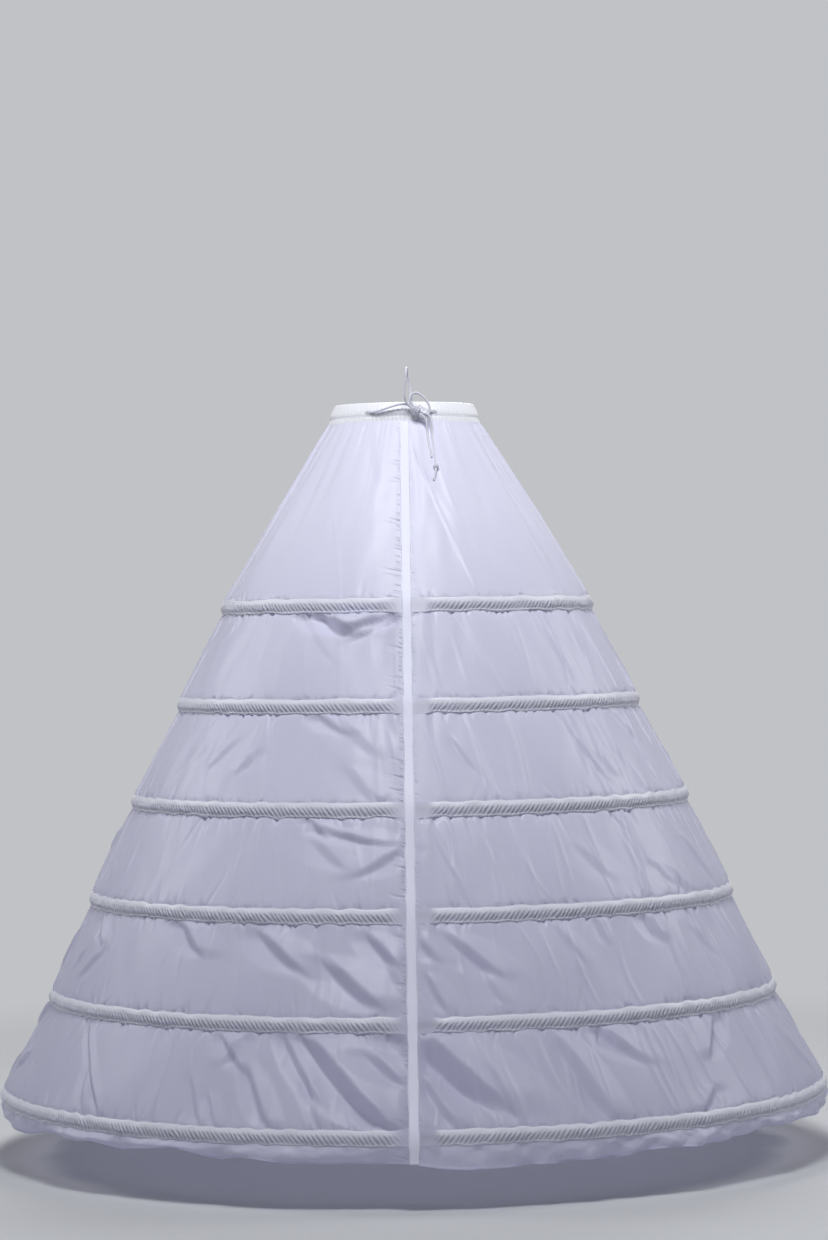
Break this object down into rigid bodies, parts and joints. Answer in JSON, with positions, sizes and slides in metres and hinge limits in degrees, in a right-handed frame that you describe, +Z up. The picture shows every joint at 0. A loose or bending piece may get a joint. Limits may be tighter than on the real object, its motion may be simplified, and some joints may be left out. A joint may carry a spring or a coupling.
{
  "type": "hoop petticoat",
  "caption": "Bell-shaped white hoop petticoat: sheer gored skirt held out by sprung hoops in ruched casings, hung from a gathered drawstring waistband.",
  "frame": {"origin": "middle of the waist opening, level with the waistband's top edge", "axes": "+Z up out of the waist, +Y towards the wearer's front, +X towards the wearer's right; the bow and the back seam face -Y"},
  "size_m": [1.2116, 1.2101, 1.0885],
  "materials": {
    "skirt_cloth": "sheer white plain-weave taffeta with a soft sheen",
    "band_cloth": "doubled white taffeta, nearly opaque",
    "tape": "white woven tape",
    "boning": "white plastic over spring steel",
    "clip": "crimped steel sleeve",
    "drawstring": "soft white cord"
  },
  "bodies": {
    "root": {"waistband": "band_cloth", "gore_back_right": "skirt_cloth", "gore_front_right": "skirt_cloth", "gore_front_left": "skirt_cloth", "gore_back_left": "skirt_cloth", "back_seam_binding": "band_cloth", "hoop_1": "boning", "hoop_2": "boning", "hoop_3": "boning", "hoop_4": "boning", "hoop_5": "boning", "hoop_6": "boning", "hoop_clip_1": "clip", "hoop_clip_2": "clip", "hoop_clip_3": "clip", "hoop_clip_4": "clip", "hoop_clip_5": "clip", "hoop_clip_6": "clip", "casing_tape_1": "tape", "casing_tape_2": "tape", "casing_tape_3": "tape", "casing_tape_4": "tape", "casing_tape_5": "tape", "casing_tape_6": "tape", "drawstring_in_band": "drawstring", "drawstring_left_end": "drawstring", "drawstring_right_end": "drawstring", "bow_knot": "drawstring", "tail_knot": "drawstring"}
  },
  "joints": []
}
